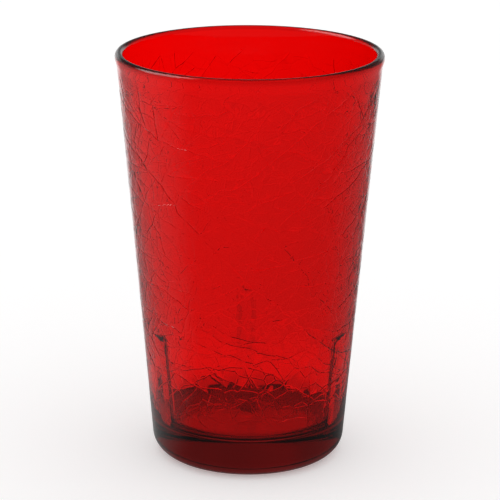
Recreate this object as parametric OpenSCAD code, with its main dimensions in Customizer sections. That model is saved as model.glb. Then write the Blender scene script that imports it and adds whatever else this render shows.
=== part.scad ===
// See-through red drinking tumbler, moulded in one piece.
// It stands on the XY plane with its axis on Z, and the origin is the centre of its foot.
// Sizes are in millimetres.

/* [Outside] */
// Outside diameter of the lip, the widest part
lip_d = 79.4; // [74:0.2:100]
// Height from the table to the top of the rim
height = 124; // [100:0.5:170]
// Diameter that the straight outside wall would reach at the table
foot_d = 57.3; // [50:0.1:72]
// Radius of the round corner between the outside wall and the foot
foot_corner_r = 6.3; // [3:0.1:8]

/* [Wall and lip] */
// Thickness of the wall under the lip
wall_top = 2.2; // [1.6:0.1:3.2]
// Thickness of the wall beside the floor
wall_low = 2.5; // [1.6:0.1:3.4]
// How far the lip stands out past the wall
lip_out = 0.2; // [0.1:0.05:0.8]
// Height of the lip's upright face, under the rounded rim
lip_h = 0.8; // [0.6:0.1:3]
// Height of the slope that leads from the lip back to the wall
lip_slope_h = 1.6; // [0.2:0.1:3]

/* [Floor and foot] */
// Height of the cavity's floor above the table
floor_z = 11; // [7:0.1:16]
// Radius of the inside corner between the wall and the floor
floor_corner_r = 5; // [1:0.1:8]
// Diameter of the shallow round mark in the middle of the floor
mark_d = 7; // [3:0.1:12]
// Depth of that mark
mark_depth = 0.3; // [0.1:0.05:0.8]
// Width of the ring that the tumbler stands on
foot_ring_w = 1.2; // [1:0.1:7]
// Depth of the recess inside that ring
recess_h = 2; // [0.3:0.1:4]
// Width of the recess's sloping edge
recess_slope_w = 0.4; // [0.2:0.1:1.5]

/* [Stacking ribs] */
// Number of ribs inside the wall, which stop the next tumbler of a stack
rib_count = 3; // [2:1:6]
// Height of the ribs' tops above the table
rib_top_z = 41.2; // [24:0.2:60]
// Width of a rib where it leaves the wall
rib_w = 6; // [3:0.1:8]
// Width of a rib's flat face, which looks at the axis
rib_face_w = 3; // [1:0.1:3]
// How far a rib's face stands out from the wall
rib_out = 1.8; // [0.8:0.1:2.6]
// Radius of the round that leads a rib's face into its top
rib_top_r = 1.8; // [0.5:0.1:2.6]
// Direction of the first rib, turned from +X
rib_turn = 90; // [0:5:355]

/* [Hidden] */
$fn = 180;
// How far a cutting or joining shape reaches past what it meets
over = 1;

// The straight outside wall, its slope and its lean
wall_top_r = lip_d / 2 - lip_out;
wall_foot_r = foot_d / 2;
out_slope = (wall_top_r - wall_foot_r) / height;
out_lean = atan(out_slope);

// The rim is a full round on top of the wall and the lip
rim_r = (wall_top + lip_out) / 2;
rim_z = height - rim_r;
rim_mid_r = lip_d / 2 - rim_r;

// The straight inside wall, its slope and its lean
in_top_r = rim_mid_r - rim_r;
in_low_r = out_r(floor_z) - wall_low;
in_slope = (in_top_r - in_low_r) / (rim_z - floor_z);
in_lean = atan(in_slope);

// The circle that rounds the foot's corner touches the table and the outside wall
foot_mid_r = wall_foot_r + foot_corner_r * (tan(out_lean) - 1 / cos(out_lean));
// The circle that rounds the floor's corner touches the floor and the inside wall
floor_mid_r = in_low_r + floor_corner_r * (tan(in_lean) - 1 / cos(in_lean));

recess_r = foot_mid_r - foot_ring_w;
// The mark is the cap of a sphere
mark_r = (mark_d * mark_d / 4 + mark_depth * mark_depth) / (2 * mark_depth);

// The circle that rounds a rib's top touches the rib's face and its top
rib_mid_z = rib_top_z - rib_top_r;
rib_mid_r = in_r(rib_mid_z) - rib_out + rib_top_r / cos(in_lean);
// A rib starts inside the floor and its back lies in the middle of the wall
rib_low_z = floor_z - over;
rib_back = wall_top / 2;

// Outside and inside radius of the straight walls at a height
function out_r(z) = wall_foot_r + out_slope * z;
function in_r(z) = in_low_r + in_slope * (z - floor_z);

// Half section of the whole outside, without the lip
module outside_section() {
    polygon([
        [0, 0],
        [foot_mid_r, 0],
        [foot_mid_r + foot_corner_r * cos(out_lean), foot_corner_r * (1 - sin(out_lean))],
        [out_r(rim_z), rim_z],
        [0, rim_z]
    ]);
    intersection() {
        translate([foot_mid_r, foot_corner_r]) circle(r = foot_corner_r);
        square([lip_d / 2, height]);
    }
}

// Half section of the lip's upright face and of the slope under it
module lip_section() {
    lip_low_z = rim_z - lip_h;
    slope_low_z = lip_low_z - lip_slope_h;
    polygon([
        [in_r(slope_low_z), slope_low_z],
        [out_r(slope_low_z), slope_low_z],
        [lip_d / 2, lip_low_z],
        [lip_d / 2, rim_z],
        [in_top_r, rim_z]
    ]);
}

// Half section of the room inside
module cavity_section() {
    polygon([
        [0, floor_z],
        [floor_mid_r, floor_z],
        [floor_mid_r + floor_corner_r * cos(in_lean), floor_z + floor_corner_r * (1 - sin(in_lean))],
        [in_r(rim_z + over), rim_z + over],
        [0, rim_z + over]
    ]);
    intersection() {
        translate([floor_mid_r, floor_z + floor_corner_r]) circle(r = floor_corner_r);
        square([lip_d / 2, height]);
    }
}

// Half section of the recess under the foot
module recess_section() {
    polygon([
        [0, -over],
        [recess_r, -over],
        [recess_r, 0],
        [recess_r - recess_slope_w, recess_h],
        [0, recess_h]
    ]);
}

// Wall, lip, floor and foot in one turn
module shell() {
    rotate_extrude() {
        difference() {
            union() {
                outside_section();
                lip_section();
            }
            cavity_section();
            recess_section();
        }
        translate([rim_mid_r, rim_z]) circle(r = rim_r);
    }
}

// Shallow round mark in the middle of the floor
module floor_mark() {
    translate([0, 0, floor_z - mark_depth + mark_r]) sphere(r = mark_r);
}

// A rib seen from its side: a face that leans with the wall, and a rounded top
module rib_side() {
    polygon([
        [in_r(rib_low_z) - rib_out, rib_low_z],
        [rib_mid_r - rib_top_r * cos(in_lean), rib_mid_z + rib_top_r * sin(in_lean)],
        [rib_mid_r, rib_top_z],
        [lip_d / 2, rib_top_z],
        [lip_d / 2, rib_low_z]
    ]);
    translate([rib_mid_r, rib_mid_z]) circle(r = rib_top_r);
}

// A rib cut across: sloping sides between its flat face and the wall
module rib_across() {
    polygon([
        [-rib_out - over, -rib_face_w / 2],
        [-rib_out, -rib_face_w / 2],
        [0, -rib_w / 2],
        [rib_back, -rib_w / 2],
        [rib_back, rib_w / 2],
        [0, rib_w / 2],
        [-rib_out, rib_face_w / 2],
        [-rib_out - over, rib_face_w / 2]
    ]);
}

// One stacking rib on the +X side, with its back hidden in the wall
module rib() {
    intersection() {
        rotate([90, 0, 0]) linear_extrude(rib_w + over, center = true) rib_side();
        translate([in_r(0), 0, 0]) rotate([0, in_lean, 0]) linear_extrude(rib_top_z + over) rib_across();
    }
}

module ribs() {
    for (i = [0 : rib_count - 1]) {
        rotate([0, 0, rib_turn + i * 360 / rib_count]) rib();
    }
}

module tumbler() {
    color([0.78, 0.07, 0.07, 0.6])
    difference() {
        union() {
            shell();
            ribs();
        }
        floor_mark();
    }
}

tumbler();
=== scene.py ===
# %% [markdown]
# A red see-through drinking tumbler. It was moulded in one piece from a clear styrene plastic, so the
# whole model is one closed mesh with one material. Its look comes from three things that are built in
# turn: a wall of true thickness, a relief of fine cracks on the outside of that wall, and a plastic
# that bends light and takes up every colour but red on its way through.

import math
import random

import bmesh
import bpy
from mathutils import Matrix, Vector, noise


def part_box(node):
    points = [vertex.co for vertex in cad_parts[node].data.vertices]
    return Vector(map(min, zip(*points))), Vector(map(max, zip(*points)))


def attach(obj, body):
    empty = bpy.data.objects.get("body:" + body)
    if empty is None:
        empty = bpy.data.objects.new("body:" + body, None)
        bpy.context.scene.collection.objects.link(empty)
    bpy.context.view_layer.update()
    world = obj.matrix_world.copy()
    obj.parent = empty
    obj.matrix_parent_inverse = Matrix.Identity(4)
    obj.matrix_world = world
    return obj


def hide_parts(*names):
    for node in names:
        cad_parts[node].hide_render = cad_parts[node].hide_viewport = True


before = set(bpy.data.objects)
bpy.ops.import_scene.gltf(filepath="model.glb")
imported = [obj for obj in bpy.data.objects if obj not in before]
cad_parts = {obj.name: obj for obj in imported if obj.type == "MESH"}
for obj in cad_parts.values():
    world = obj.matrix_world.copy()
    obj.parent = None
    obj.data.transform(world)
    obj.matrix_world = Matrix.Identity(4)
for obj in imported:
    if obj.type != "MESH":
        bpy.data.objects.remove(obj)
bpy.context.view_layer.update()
node_low, node_high = (Vector(corner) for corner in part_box("tumbler"))

# %% [markdown]
# A maker draws a tumbler as half a section and turns it. The frame gives the two sizes that matter
# most, how wide the lip is and how tall the tumbler stands. The wall, the floor and the foot are named
# here in millimetres, as a drawing has them, and one factor makes them metres.

# %% Sizes
MM = 0.001
lip_r = (node_high.x - node_low.x) / 2
height = node_high.z - node_low.z
foot_r = 28.65 * MM
foot_corner_r = 6.3 * MM
foot_ring_w = 1.2 * MM
recess_h = 2 * MM
recess_slope_w = 0.4 * MM
wall_top = 2.2 * MM
wall_low = 2.5 * MM
lip_out = 0.2 * MM
lip_h = 0.8 * MM
lip_slope_h = 1.6 * MM
floor_z = 11 * MM
floor_corner_r = 5 * MM
mark_r = 3.5 * MM
mark_depth = 0.3 * MM
rib_top_z = 41.2 * MM
rib_top_r = 1.8 * MM
rib_w = 6 * MM
rib_face_w = 3 * MM
rib_out = 1.8 * MM

rim_r = (wall_top + lip_out) / 2
lip_low_z = height - rim_r - lip_h
wall_top_z = lip_low_z - lip_slope_h
out_slope = (lip_r - lip_out - foot_r) / height
out_lean = math.atan(out_slope)
in_top_r = lip_r - 2 * rim_r


def outside_radius(z):
    """Radius of the straight outside wall at a height."""
    return foot_r + out_slope * z


in_low_r = outside_radius(floor_z) - wall_low
in_slope = (in_top_r - in_low_r) / (height - floor_z)


def inside_radius(z):
    """Radius of the straight inside wall at a height."""
    return in_low_r + in_slope * (z - floor_z)


print("lip radius", round(lip_r, 5), "height", round(height, 5), "inside foot", round(in_low_r, 5))

# %% [markdown]
# The body is a solid of revolution. It could be built from stacked rings, but a turned section is how
# the mould itself is cut. The section starts as a few corner points. The corners that are round on the
# real tumbler are bevelled in the flat, which is cheap and true, and the turn comes last. The inside
# line gets close rows where the tops of the ribs will be, and the outside line gets even rows for the
# relief.

# %% Half section, with its round corners
MARK_STEPS = 4
RIB_TOP_STEPS = 6
ROW_OUTSIDE = 1.5 * MM
ROW_INSIDE = 8 * MM
FOOT_SEGMENTS = 12
RIM_SEGMENTS = 8
FLOOR_SEGMENTS = 10
TRUE_ARC = 0.5


def round_corner(section, corner, radius, segments):
    """Rounds one corner of a flat outline. The cut starts as far from the corner as the arc needs."""
    before, after = (edge.other_vert(corner).co - corner.co for edge in corner.link_edges)
    cut = radius / math.tan(before.angle(after) / 2)
    bmesh.ops.bevel(section, geom=[corner], offset=cut, offset_type="OFFSET", affect="VERTICES",
                    segments=segments, profile=TRUE_ARC, material=-1)


def half_section():
    """The half section as a line of vertices, from the axis under the foot to the axis on the floor."""
    ring_r = foot_r - foot_corner_r / math.tan((math.pi / 2 + out_lean) / 2)
    recess_r = ring_r - foot_ring_w
    mark_line = [(mark_r * step / MARK_STEPS, floor_z - mark_depth * (1 - (step / MARK_STEPS) ** 2))
                 for step in range(MARK_STEPS, -1, -1)]
    rib_turns = [step / RIB_TOP_STEPS * math.pi / 2 for step in range(RIB_TOP_STEPS + 1)]
    rib_rows = [rib_top_z - rib_top_r * (1 - math.cos(turn)) for turn in rib_turns]
    rib_line = [(inside_radius(z), z) for z in rib_rows]
    foot = (foot_r, 0)
    rim_outside = (lip_r, height)
    rim_inside = (in_top_r, height)
    floor_corner = (in_low_r, floor_z)
    points = [(0, recess_h), (recess_r - recess_slope_w, recess_h), (recess_r, 0), foot,
              (outside_radius(wall_top_z), wall_top_z), (lip_r, lip_low_z), rim_outside, rim_inside,
              *rib_line, floor_corner, *mark_line]
    section = bmesh.new()
    line = [section.verts.new((r, 0, z)) for r, z in points]
    for start, end in zip(line, line[1:]):
        section.edges.new((start, end))
    for point, radius, segments in ((foot, foot_corner_r, FOOT_SEGMENTS),
                                    (rim_outside, rim_r, RIM_SEGMENTS),
                                    (rim_inside, rim_r, RIM_SEGMENTS),
                                    (floor_corner, floor_corner_r, FLOOR_SEGMENTS)):
        round_corner(section, line[points.index(point)], radius, segments)
    return section


def is_outside(point):
    """True for a point that lies nearer to the outside of the wall than to its inside."""
    middle_r = (outside_radius(point.z) + inside_radius(point.z)) / 2
    return point.xy.length > middle_r


def cut_into_rows(section):
    """Cuts the two long wall lines into short rows, so that the wall can carry relief and ribs."""
    for edge in list(section.edges):
        rise = abs(edge.verts[0].co.z - edge.verts[1].co.z)
        middle = (edge.verts[0].co + edge.verts[1].co) / 2
        row = ROW_OUTSIDE if is_outside(middle) else ROW_INSIDE
        if rise > 2 * row:
            bmesh.ops.subdivide_edges(section, edges=[edge], cuts=int(rise / row))


body = half_section()
cut_into_rows(body)
print("section points", len(body.verts))

# %% [markdown]
# One turn of the section makes the closed body. The number of steps is a multiple of twelve, so that a
# column of points runs down the middle line of each rib. Blender leaves the faces in another order at
# each run, and the cracks depend on it, so the body is built again with its faces in a fixed order.

# %% Turn the section
TURN_STEPS = 240
SAME_PLACE = 0.001 * MM


def in_fixed_order(net):
    """The same closed net with its faces, and the corners of each, in an order that never changes."""
    net.verts.index_update()
    loops = [[vert.index for vert in face.verts] for face in net.faces]
    starts = [loop.index(min(loop)) for loop in loops]
    fresh = bmesh.new()
    points = [fresh.verts.new(vert.co) for vert in net.verts]
    for loop in sorted(loop[start:] + loop[:start] for loop, start in zip(loops, starts)):
        fresh.faces.new([points[index] for index in loop])
    net.free()
    return fresh


bmesh.ops.spin(body, geom=body.verts[:] + body.edges[:], cent=(0, 0, 0), axis=(0, 0, 1),
               angle=math.tau, steps=TURN_STEPS, use_merge=True)
bmesh.ops.remove_doubles(body, verts=body.verts, dist=SAME_PLACE)
bmesh.ops.recalc_face_normals(body, faces=body.faces)
body = in_fixed_order(body)
open_edges = sum(1 for edge in body.edges if not edge.is_manifold)
print("body", len(body.verts), "vertices", len(body.faces), "faces", open_edges, "open edges")

# %% [markdown]
# Three ribs inside the wall stop the next tumbler of a stack before it wedges. A rib could be a bar
# that a Boolean joins to the wall. Here the wall is already a net of points, so the rib is pressed out
# of the net: the skin stays whole, and the rib gets the sloping sides and the rounded top that let it
# leave the mould.

# %% Stacking ribs
RIB_COUNT = 3
FIRST_RIB = math.radians(90)


def rib_share(across):
    """The share of a rib's height at a distance from its middle line: 1 on the face, 0 beside it."""
    share = (rib_w / 2 - abs(across)) / ((rib_w - rib_face_w) / 2)
    return min(max(share, 0), 1)


def rib_height(z):
    """How far a rib's face stands out from the wall at a height, with the round at its top."""
    above = max(z - (rib_top_z - rib_top_r), 0)
    if above > rib_top_r:
        return 0
    return rib_out - rib_top_r + math.sqrt(rib_top_r ** 2 - above ** 2)


pressed = 0
for vert in body.verts:
    if is_outside(vert.co) or not floor_z < vert.co.z < rib_top_z:
        continue
    radius = vert.co.xy.length
    turn = math.atan2(vert.co.y, vert.co.x)
    for index in range(RIB_COUNT):
        away = turn - FIRST_RIB - index * math.tau / RIB_COUNT
        face_r = inside_radius(vert.co.z) - rib_height(vert.co.z) * rib_share(radius * math.sin(away))
        if math.cos(away) > 0 and face_r < radius:
            vert.co.xy *= face_r / radius
            pressed += 1
print("points pressed into ribs", pressed)

# %% [markdown]
# The wall looks like ice that has cracked: long wandering lines that meet in cells of a few
# millimetres. A bump texture could paint them, but then the edge of the tumbler would stay smooth, and
# a see-through wall shows its back as well as its front. So the lines are cut. A real crack runs until
# it meets an older one, and that gives the rule: a patch of wall is cut in two, and each half is cut
# again until the patches are small. Three cuts side by side make the two edges and the bottom of a
# groove.

# %% How one crack is cut
CRACK_LOW_Z = 15 * MM
CRACK_HIGH_Z = wall_top_z - 1.5 * MM
REACH = 2.4 * MM
ON_WALL = 0.1 * MM
groove = body.verts.layers.float.new("groove")


def is_cracked(face):
    """True for a face of the outside wall, in the height that carries the cracks."""
    middle = face.calc_center_median()
    on_wall = middle.xy.length > outside_radius(middle.z) - ON_WALL
    return on_wall and CRACK_LOW_Z < middle.z < CRACK_HIGH_Z


def wall_frame(point):
    """Directions around and up the wall at a point."""
    around = Vector((-point.y, point.x, 0)).normalized()
    out = Vector((point.x, point.y, 0)).normalized() * math.cos(out_lean)
    out.z = -math.sin(out_lean)
    return around, out.cross(around)


def crack(patch, point, across, width, depth):
    """Cuts one groove through a patch of faces, and returns the faces on its two sides."""
    before = []
    after = []
    near = []
    for face in patch:
        place = (face.calc_center_median() - point).dot(across)
        side = near if abs(place) < REACH else before if place < 0 else after
        side.append(face)
    for offset in (-width / 2, 0, width / 2):
        edges = dict.fromkeys(edge for face in near for edge in face.edges)
        verts = dict.fromkeys(vert for face in near for vert in face.verts)
        cut = bmesh.ops.bisect_plane(body, geom=[*near, *edges, *verts], dist=2 * SAME_PLACE,
                                     plane_co=point + across * offset, plane_no=across)
        near = [piece for piece in cut["geom"] if isinstance(piece, bmesh.types.BMFace)]
        for piece in cut["geom_cut"]:
            if isinstance(piece, bmesh.types.BMEdge):
                piece.smooth = False
            elif offset == 0:
                piece[groove] = max(piece[groove], depth)
    for face in near:
        place = (face.calc_center_median() - point).dot(across)
        if abs(place) > width / 2:
            side = before if place < 0 else after
            side.append(face)
    return before, after


wall = [face for face in body.faces if is_cracked(face)]
print("faces that carry the cracks", len(wall))

# %% [markdown]
# Every crack differs a little in width and depth. A tall patch is cut nearly level and a wide one on a
# diagonal, near its middle. The height counts for more than the width here, so the cells come out
# wider than they are tall, as they are in the middle of the real wall. Seeded dice give the same
# cracks at every run. Where cracks meet at a point, edges far shorter than a groove is wide are closed
# up, because they would show as dark specks.

# %% Crack the wall
SEED = 7
CELL_AREA = 54 * MM * MM
AREA_SPREAD = (0.5, 2)
CELL_STRETCH = 1.5
CRACK_W = 0.4 * MM
WIDTH_SPREAD = (0.7, 1.1)
CRACK_DEPTH = 0.10 * MM
DEPTH_SPREAD = (0.35, 1)
OFF_CENTRE = 0.14
DIAGONAL = 0.8
SLANT = 0.35
FIRST_SLANT = 1
SHORTEST = 0.12 * MM
dice = random.Random(SEED)


def split(patch):
    """Cracks a patch in two, goes on with the halves until they are small, and counts the cells."""
    area = sum(face.calc_area() for face in patch)
    if area < CELL_AREA * dice.uniform(*AREA_SPREAD) or len(patch) < 2:
        return 1
    middles = [face.calc_center_median() for face in patch]
    centre = sum(middles, Vector()) / len(middles)
    around, up = wall_frame(centre)
    turns = [(place - centre).dot(around) for place in middles]
    rises = [(place - centre).dot(up) for place in middles]
    wide = max(turns) - min(turns)
    tall = (max(rises) - min(rises)) * CELL_STRETCH
    aside = around * wide * dice.uniform(-OFF_CENTRE, OFF_CENTRE)
    along = up * tall * dice.uniform(-OFF_CENTRE, OFF_CENTRE)
    lean = dice.gauss(dice.choice((-DIAGONAL, DIAGONAL)) if wide > tall else math.pi / 2, SLANT)
    across = around * math.cos(lean) + up * math.sin(lean)
    before, after = crack(patch, centre + aside + along, across, CRACK_W * dice.uniform(*WIDTH_SPREAD),
                          CRACK_DEPTH * dice.uniform(*DEPTH_SPREAD))
    return split(before) + split(after)


start = Vector((0, -outside_radius(height / 2), height / 2))
around, up = wall_frame(start)
halves = crack(wall, start, (around + up * FIRST_SLANT).normalized(), CRACK_W, CRACK_DEPTH)
cells = sum(split(half) for half in halves)
wall_edges = [edge for edge in body.edges if any(is_cracked(face) for face in edge.link_faces)]
bmesh.ops.dissolve_degenerate(body, dist=SHORTEST, edges=wall_edges)
print("cells", cells, "faces", len(body.faces))

# %% [markdown]
# The cuts are straight, and real cracks wander. So the whole wall is pushed about along itself by
# smooth noise: a wide bend for the run of a line and a tight one for its curls. The same step presses
# the grooves in and lets the skin between them swell a little, always inwards, so that the tumbler
# keeps its size. All of it fades out towards the lip and the foot, which are smooth. The noise takes the
# same seed as the dice, because it would otherwise start from the clock.

# %% Bend the lines and press the grooves
BEND = 2.0 * MM
BEND_LENGTH = 13 * MM
CURL = 1.0 * MM
CURL_LENGTH = 4.5 * MM
SWELL = 0.08 * MM
SWELL_LENGTH = 9 * MM
FADE = 4 * MM


def fade(z):
    """0 at the ends of the cracked height and beyond, 1 inside it."""
    inside = min(z - CRACK_LOW_Z, CRACK_HIGH_Z - z) / FADE
    share = min(max(inside, 0), 1)
    return share * share * (3 - 2 * share)


noise.seed_set(SEED)
moved = 0
for vert in body.verts:
    x, y, z = vert.co
    radius = math.hypot(x, y)
    strength = fade(z)
    if strength == 0 or radius < outside_radius(z) - ON_WALL:
        continue
    place = vert.co.copy()
    wide_bend = noise.noise_vector(place / BEND_LENGTH) * BEND
    tight_bend = noise.noise_vector(place / CURL_LENGTH) * CURL
    shift = (wide_bend + tight_bend) * strength
    turn = math.atan2(y, x) + shift.x / radius
    new_z = z + shift.z
    hollow = SWELL * (1 + noise.noise(place / SWELL_LENGTH)) / 2 * strength
    new_radius = outside_radius(new_z) - hollow - vert[groove] * strength
    vert.co = (new_radius * math.cos(turn), new_radius * math.sin(turn), new_z)
    moved += 1
print("points moved", moved)

# %% [markdown]
# Where cracks meet, the bends can tip a tiny face far over, and such a face would show as a dark speck.
# The points around those few faces are smoothed until the skin lies almost flat again.

# %% Smooth the tipped faces
STEEP_ANGLE = math.radians(42)
SMOOTH_ROUNDS = 6
SMOOTH_SHARE = 0.5


def is_tipped(face):
    """True for a face of the cracked wall that leans far away from the wall's own slope."""
    middle = face.calc_center_median()
    out = Vector((middle.x, middle.y, 0)).normalized()
    return is_cracked(face) and face.normal.dot(out) < math.cos(STEEP_ANGLE)


for smooth_round in range(SMOOTH_ROUNDS):
    body.normal_update()
    tipped = [face for face in body.faces if is_tipped(face)]
    corners = dict.fromkeys(vert for face in tipped for vert in face.verts)
    bmesh.ops.smooth_vert(body, verts=[*corners], factor=SMOOTH_SHARE, use_axis_x=True,
                          use_axis_y=True, use_axis_z=True)
    print("round", smooth_round, "tipped faces", len(tipped))

# %% [markdown]
# The skin is shaded smooth between the cracks. The edges of the grooves stay sharp, and so do those of
# the recess and of the ribs, because the light that such edges break is what makes the lines show.

# %% Make the object
SHARP_ANGLE = math.radians(42)
for face in body.faces:
    face.smooth = True
for edge in body.edges:
    if edge.is_manifold and edge.calc_face_angle() > SHARP_ANGLE:
        edge.smooth = False
tumbler_mesh = bpy.data.meshes.new("tumbler_glass")
body.to_mesh(tumbler_mesh)
body.free()
tumbler = bpy.data.objects.new("tumbler_glass", tumbler_mesh)
bpy.context.scene.collection.objects.link(tumbler)
triangles = sum(len(polygon.vertices) - 2 for polygon in tumbler_mesh.polygons)
print("tumbler", len(tumbler_mesh.vertices), "vertices", triangles, "triangles")

# %% [markdown]
# Materials, floor and world are all node trees. Two small classes keep them readable: one wraps a
# number in a tree, so that Python's own operators add the Math nodes, and one adds any other node from
# its type, its settings and its values.

# %% Helpers for node trees


class Value:
    """A number in a node tree that takes Python's operators. Each operator adds one Math node."""

    def __init__(self, nodes, socket):
        self.nodes = nodes
        self.socket = socket

    def maths(self, operation, first, second=0):
        """The result of one Math node."""
        node = self.nodes.add("ShaderNodeMath", {"operation": operation}, {0: first, 1: second})
        return Value(self.nodes, node.outputs[0])

    def __add__(self, other):
        return self.maths("ADD", self, other)

    def __radd__(self, other):
        return self.maths("ADD", other, self)

    def __sub__(self, other):
        return self.maths("SUBTRACT", self, other)

    def __rsub__(self, other):
        return self.maths("SUBTRACT", other, self)

    def __mul__(self, other):
        return self.maths("MULTIPLY", self, other)

    def __rmul__(self, other):
        return self.maths("MULTIPLY", other, self)

    def __abs__(self):
        return self.maths("ABSOLUTE", self)

    def at_least(self, limit):
        """This number, or the limit where it falls below it."""
        return self.maths("MAXIMUM", self, limit)

    def ramp(self, start, end, low, high):
        """A number that goes smoothly from low to high while this one goes from start to end."""
        node = self.nodes.add("ShaderNodeMapRange", {"interpolation_type": "SMOOTHSTEP"},
                              {"Value": self, "From Min": start, "From Max": end, "To Min": low,
                               "To Max": high})
        return self.nodes.number(node)


class Nodes:
    """A node tree that starts empty, with one method that adds any kind of node."""

    def __init__(self, owner):
        owner.use_nodes = True
        self.tree = owner.node_tree
        self.tree.nodes.clear()

    def add(self, kind, settings=None, values=None):
        """Adds a node. A value is a plain one, a Value or the socket that it comes from."""
        node = self.tree.nodes.new(kind)
        for name, setting in (settings or {}).items():
            setattr(node, name, setting)
        for name, value in (values or {}).items():
            socket = value.socket if isinstance(value, Value) else value
            if isinstance(socket, bpy.types.NodeSocket):
                self.tree.links.new(socket, node.inputs[name])
            else:
                node.inputs[name].default_value = socket
        return node

    def number(self, node, output=0):
        """One output of a node as a number that takes operators."""
        return Value(self, node.outputs[output])


# %% [markdown]
# A see-through plastic needs no painted colour. Its surface is clear and bends light, and its red comes
# from the stuff between the surfaces, so thick places such as the floor turn dark by themselves, as
# they do on the real one. Light of the wavelengths that aren't red is taken up at once, and red light
# only slowly; both are given per metre. Between the cut cracks the real skin has hairlines and a slight
# waviness that are too fine to cut, so these come from a bump. It is held to the outside of the wall:
# the inside, the lip and the foot were polished in the mould.

# %% Clear red plastic
RED_TAKEN = 38
OTHER_TAKEN = 3000
BENDS_LIGHT = 1.57
HAIR_CELL = 5 * MM
HAIR_W = 0.05
HAIR_BEND = 3 * MM
WAVE_LENGTH = 7 * MM
WAVE_DETAIL = 2
HAIR_HEIGHT = 0.035 * MM
WAVE_SHARE = 1.5
plastic = bpy.data.materials.new("clear_red_plastic")
nodes = Nodes(plastic)
place = nodes.add("ShaderNodeTexCoord").outputs["Object"]
wave = nodes.add("ShaderNodeTexNoise", {},
                 {"Vector": place, "Scale": 1 / WAVE_LENGTH, "Detail": WAVE_DETAIL})
bends = nodes.add("ShaderNodeVectorMath", {"operation": "SCALE"},
                  {0: wave.outputs["Color"], "Scale": HAIR_BEND})
bent_place = nodes.add("ShaderNodeVectorMath", {"operation": "ADD"}, {0: place, 1: bends.outputs[0]})
hair = nodes.add("ShaderNodeTexVoronoi", {"feature": "DISTANCE_TO_EDGE"},
                 {"Vector": bent_place.outputs[0], "Scale": 1 / HAIR_CELL})
hairline = nodes.number(hair, "Distance").ramp(0, HAIR_W, 0, 1)
parts = nodes.add("ShaderNodeSeparateXYZ", {}, {0: place})
level = nodes.add("ShaderNodeVectorMath", {"operation": "MULTIPLY"}, {0: place, 1: (1, 1, 0)})
from_axis = nodes.add("ShaderNodeVectorMath", {"operation": "LENGTH"}, {0: level.outputs[0]})
rise = nodes.number(parts, "Z")
behind_face = nodes.number(from_axis, "Value") - (rise * out_slope + foot_r)
on_face = behind_face.ramp(-wall_low / 2, -wall_low / 4, 0, 1)
over_foot = rise.ramp(CRACK_LOW_Z, CRACK_LOW_Z + FADE, 0, 1)
under_lip = rise.ramp(CRACK_HIGH_Z - FADE, CRACK_HIGH_Z, 1, 0)
relief = (hairline + nodes.number(wave) * WAVE_SHARE) * on_face * over_foot * under_lip
bump = nodes.add("ShaderNodeBump", {}, {"Height": relief, "Distance": HAIR_HEIGHT, "Strength": 1})
surface = nodes.add("ShaderNodeBsdfPrincipled", {},
                    {"Base Color": (1, 1, 1, 1), "Roughness": 0, "IOR": BENDS_LIGHT,
                     "Transmission Weight": 1, "Normal": bump.outputs[0]})
inside = nodes.add("ShaderNodeVolumeAbsorption", {}, {"Color": (1 - RED_TAKEN / OTHER_TAKEN, 0, 0, 1),
                                                      "Density": OTHER_TAKEN})
nodes.add("ShaderNodeOutputMaterial", {}, {"Surface": surface.outputs[0], "Volume": inside.outputs[0]})
tumbler.data.materials.append(plastic)
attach(tumbler, "root")
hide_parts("tumbler")
print("plastic nodes", len(nodes.tree.nodes))

# %% [markdown]
# Clear things show their surroundings more than themselves, so the studio is part of the look. Rays
# that the tumbler mirrors find a dim room with a grey box at the left and two white panels behind.
# Rays that it bends find a soft white room with faint upright stripes, which gets darker towards both
# sides. The stripes are what the cracks break up, and the dark sides draw the edges of the plastic.
# Both rooms are written as one brightness for each level direction, so that the floor and the world
# can share them. In the world they are light; on the floor they are painted light.

# %% Surroundings
DIM = 0.1
MIDDLE = 0.12
RISE = 0.1
BOX = 0.18
BOX_TURN = math.radians(70)
BOX_EDGE = 0.5
BOX_FULL = 0.95
PANEL = 0.75
PANEL_EDGE = 0.8
PANEL_FULL = 0.95
GAP_EDGE = 0.03
GAP_FULL = 0.2
GAP_SHARE = 0.2


def mirrored_light(nodes, direction):
    """How bright a mirrored ray finds the room in a level direction. Back is +Y and left is -X."""
    level = nodes.add("ShaderNodeVectorMath", {"operation": "MULTIPLY"}, {0: direction, 1: (1, 1, 0)})
    unit = nodes.add("ShaderNodeVectorMath", {"operation": "NORMALIZE"}, {0: level.outputs[0]})
    parts = nodes.add("ShaderNodeSeparateXYZ", {}, {0: unit.outputs[0]})
    back = nodes.number(parts, "Y")
    aside = abs(nodes.number(parts, "X"))
    room = (back * RISE + MIDDLE).at_least(DIM)
    box_side = (-math.sin(BOX_TURN), math.cos(BOX_TURN), 0)
    facing = nodes.add("ShaderNodeVectorMath", {"operation": "DOT_PRODUCT"},
                       {0: unit.outputs[0], 1: box_side})
    box = nodes.number(facing, "Value").ramp(BOX_EDGE, BOX_FULL, 0, BOX)
    panels = back.ramp(PANEL_EDGE, PANEL_FULL, 0, PANEL) * aside.ramp(GAP_EDGE, GAP_FULL, GAP_SHARE, 1)
    return room + box + panels


EVEN = 0.88
STRIPE = 0.09
STRIPES = 7
DARK_START = 0.28
DARK_END = 0.52
DARK = 0.26


def bent_light(nodes, direction):
    """How bright a bent ray finds the room in a level direction: faint stripes, and darker sides."""
    parts = nodes.add("ShaderNodeSeparateXYZ", {}, {0: direction})
    angle = nodes.add("ShaderNodeMath", {"operation": "ARCTAN2"},
                      {0: parts.outputs["X"], 1: parts.outputs["Y"]})
    turn = nodes.number(angle)
    wave = nodes.add("ShaderNodeMath", {"operation": "SINE"}, {0: turn * STRIPES})
    sides = abs(turn).ramp(DARK_START, DARK_END, 1, 1 - DARK)
    return (EVEN - nodes.number(wave) * STRIPE) * sides


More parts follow.
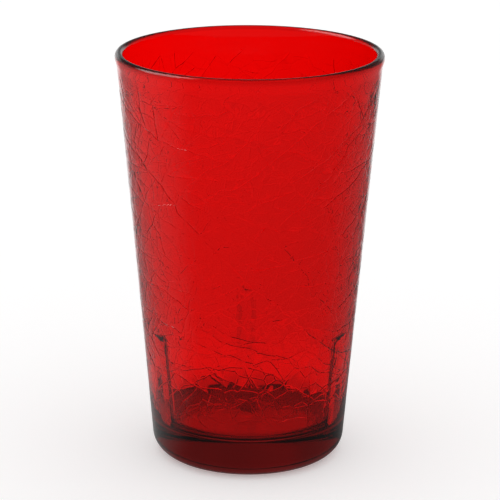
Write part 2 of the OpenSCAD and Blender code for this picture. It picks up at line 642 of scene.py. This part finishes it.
def ray_kinds(nodes):
    """Three numbers that are 1 for a seen ray, for a bent one and for a mirrored one."""
    path = nodes.add("ShaderNodeLightPath")
    seen = nodes.number(path, "Is Camera Ray")
    bent = nodes.number(path, "Is Transmission Ray")
    mirrored = nodes.number(path, "Is Glossy Ray") * (1 - bent)
    return seen, bent, mirrored


# %% [markdown]
# The tumbler stands on a plain pale table. The camera sees it almost white, with the tumbler's soft
# shadow. For bent rays the room's light is painted on it: the stripes and the dark sides, a little
# darker up to arm's length, but not close to the tumbler. Under the tumbler they find its shadow, partly
# cast and partly a painted shadow, and around the edge of the foot a painted dark ring of shade, where
# the foot keeps the light away. For mirrored rays the dim room, the box and the panels are painted on
# it as a glow, which is painted light.

# %% Floor
FLOOR_R = 1.6
FLOOR_SIDES = 96
PALE = 0.9
LIFT = 0.3
NEAR_R = 0.25
FAR_R = 0.6
NEAR = 0.82
OPEN_R = 0.06
ROOM_R = 0.13
UNDER_R = 0.035
BESIDE_R = 0.09
UNDER = 0.63
SHADE_R = 28 * MM
SHADE_CORE_W = 6 * MM
SHADE_W = 8.5 * MM
SHADE = 0.97
bpy.ops.mesh.primitive_circle_add(vertices=FLOOR_SIDES, radius=FLOOR_R, fill_type="NGON")
table = bpy.context.object
table.name = "table_top"
white = bpy.data.materials.new("table_white")
nodes = Nodes(white)
seen, bent, mirrored = ray_kinds(nodes)
place = nodes.add("ShaderNodeTexCoord").outputs["Object"]
from_foot = nodes.add("ShaderNodeVectorMath", {"operation": "LENGTH"}, {0: place})
away = nodes.number(from_foot, "Value")
# Painted light for bent rays: the room's stripes and dark sides on the table, a little darker up to
# arm's length.
fall = away.ramp(NEAR_R, FAR_R, NEAR, 1)
# Painted shade: a dark ring on the table around the edge of the foot, seen by bent rays.
painted_ring_shade = abs(away - SHADE_R).ramp(SHADE_CORE_W, SHADE_W, 1 - SHADE, 1)
open_table = 1 - away.ramp(OPEN_R, ROOM_R, 0, 1) * (1 - bent_light(nodes, place) * fall)
# Painted shadow: the table under the tumbler is darker for bent rays, on top of the cast shadow.
painted_shadow_under = away.ramp(UNDER_R, BESIDE_R, UNDER, 1)
behind = 1 - bent * (1 - open_table * painted_shadow_under * painted_ring_shade)
# The pale colour and its lift, with the painted light and shade above for bent rays; plain for the
# camera.
pale_and_painted_shade = nodes.add("ShaderNodeCombineColor", {}, {0: behind * PALE, 1: behind * PALE, 2: behind * PALE})
paint = nodes.add("ShaderNodeBsdfDiffuse", {}, {"Color": pale_and_painted_shade.outputs[0]})
lifted = nodes.add("ShaderNodeEmission", {}, {"Strength": (seen + bent) * behind * LIFT})
seen_paint = nodes.add("ShaderNodeAddShader", {}, {0: paint.outputs[0], 1: lifted.outputs[0]})
# Painted light: for mirrored rays the table glows with the dim room, the grey box and the panels.
painted_mirrored_room = nodes.add("ShaderNodeEmission", {}, {"Strength": mirrored_light(nodes, place)})
mix = nodes.add("ShaderNodeMixShader", {},
                {0: mirrored, 1: seen_paint.outputs[0], 2: painted_mirrored_room.outputs[0]})
nodes.add("ShaderNodeOutputMaterial", {}, {"Surface": mix.outputs[0]})
table.data.materials.append(white)
print("floor nodes", len(nodes.tree.nodes))

# %% [markdown]
# The world is the soft studio light. It is plain white for the camera and for the light that falls on
# the table, so the background is white by its own colour. Mirrored rays find the box and the panels
# low down, a plain dim room above them, and a lamp high at the left, which puts the bright line on the
# rim.

# %% World
SKY_EXTRA = 0.15
PANEL_TOP = 0.17
ROOM_TOP = 0.35
LAMP = 3
LAMP_SIDE = Vector((-0.75, 0.12, 0.65)).normalized()
LAMP_EDGE = 0.88
LAMP_FULL = 0.96
world = bpy.data.worlds.new("studio")
bpy.context.scene.world = world
nodes = Nodes(world)
bent, mirrored = ray_kinds(nodes)[1:]
direction = nodes.add("ShaderNodeTexCoord").outputs["Generated"]
parts = nodes.add("ShaderNodeSeparateXYZ", {}, {0: direction})
low_share = nodes.number(parts, "Z").ramp(PANEL_TOP, ROOM_TOP, 1, 0)
facing = nodes.add("ShaderNodeVectorMath", {"operation": "DOT_PRODUCT"}, {0: direction, 1: LAMP_SIDE})
lamp = nodes.number(facing, "Value").ramp(LAMP_EDGE, LAMP_FULL, 0, LAMP)
room = mirrored_light(nodes, direction) * low_share + (1 - low_share) * DIM + lamp
behind = bent_light(nodes, direction) + SKY_EXTRA
strength = 1 - mirrored * (1 - room) - bent * (1 - behind)
sky = nodes.add("ShaderNodeBackground", {}, {"Strength": strength})
nodes.add("ShaderNodeOutputWorld", {}, {"Surface": sky.outputs[0]})
print("world nodes", len(nodes.tree.nodes))

# %% [markdown]
# The camera was fitted to the outline in the photograph: a long lens, a little above the rim, that
# looks down at the middle of the tumbler. The shift stands for the way the photograph was cut out.

# %% Camera
IMAGE_SIZE = 500
FOCAL_PX = 2426
SENSOR_W = 36
TURN = math.radians(-1.45)
TIP = math.radians(16.682)
ROLL = math.radians(0.288)
DISTANCE = 0.7308
SHIFT_X_PX = 1.143
SHIFT_Y_PX = 2.951
camera_data = bpy.data.cameras.new("camera")
camera = bpy.data.objects.new("camera", camera_data)
bpy.context.scene.collection.objects.link(camera)
bpy.context.scene.camera = camera
camera_data.sensor_width = SENSOR_W
camera_data.lens = FOCAL_PX * SENSOR_W / IMAGE_SIZE
camera_data.shift_x = SHIFT_X_PX / IMAGE_SIZE
camera_data.shift_y = SHIFT_Y_PX / IMAGE_SIZE
back_dir = Vector((math.sin(TURN) * math.cos(TIP), -math.cos(TURN) * math.cos(TIP), math.sin(TIP)))
camera.location = Vector((0, 0, height / 2)) + DISTANCE * back_dir
camera.rotation_mode = "QUATERNION"
look = (-back_dir).to_track_quat("-Z", "Y")
camera.rotation_quaternion = look @ Matrix.Rotation(ROLL, 3, "Z").to_quaternion()
print("camera at", [round(part, 4) for part in camera.location])

# %% [markdown]
# A ray can pass eight surfaces of clear plastic before it leaves, and more where it runs along a rib,
# so it may bend and mirror many times before it is given up.

# %% Light settings
BENDS = 24
MIRRORS = 12
scene = bpy.context.scene
scene.view_settings.view_transform = "Standard"
scene.cycles.max_bounces = BENDS
scene.cycles.transmission_bounces = BENDS
scene.cycles.glossy_bounces = MIRRORS
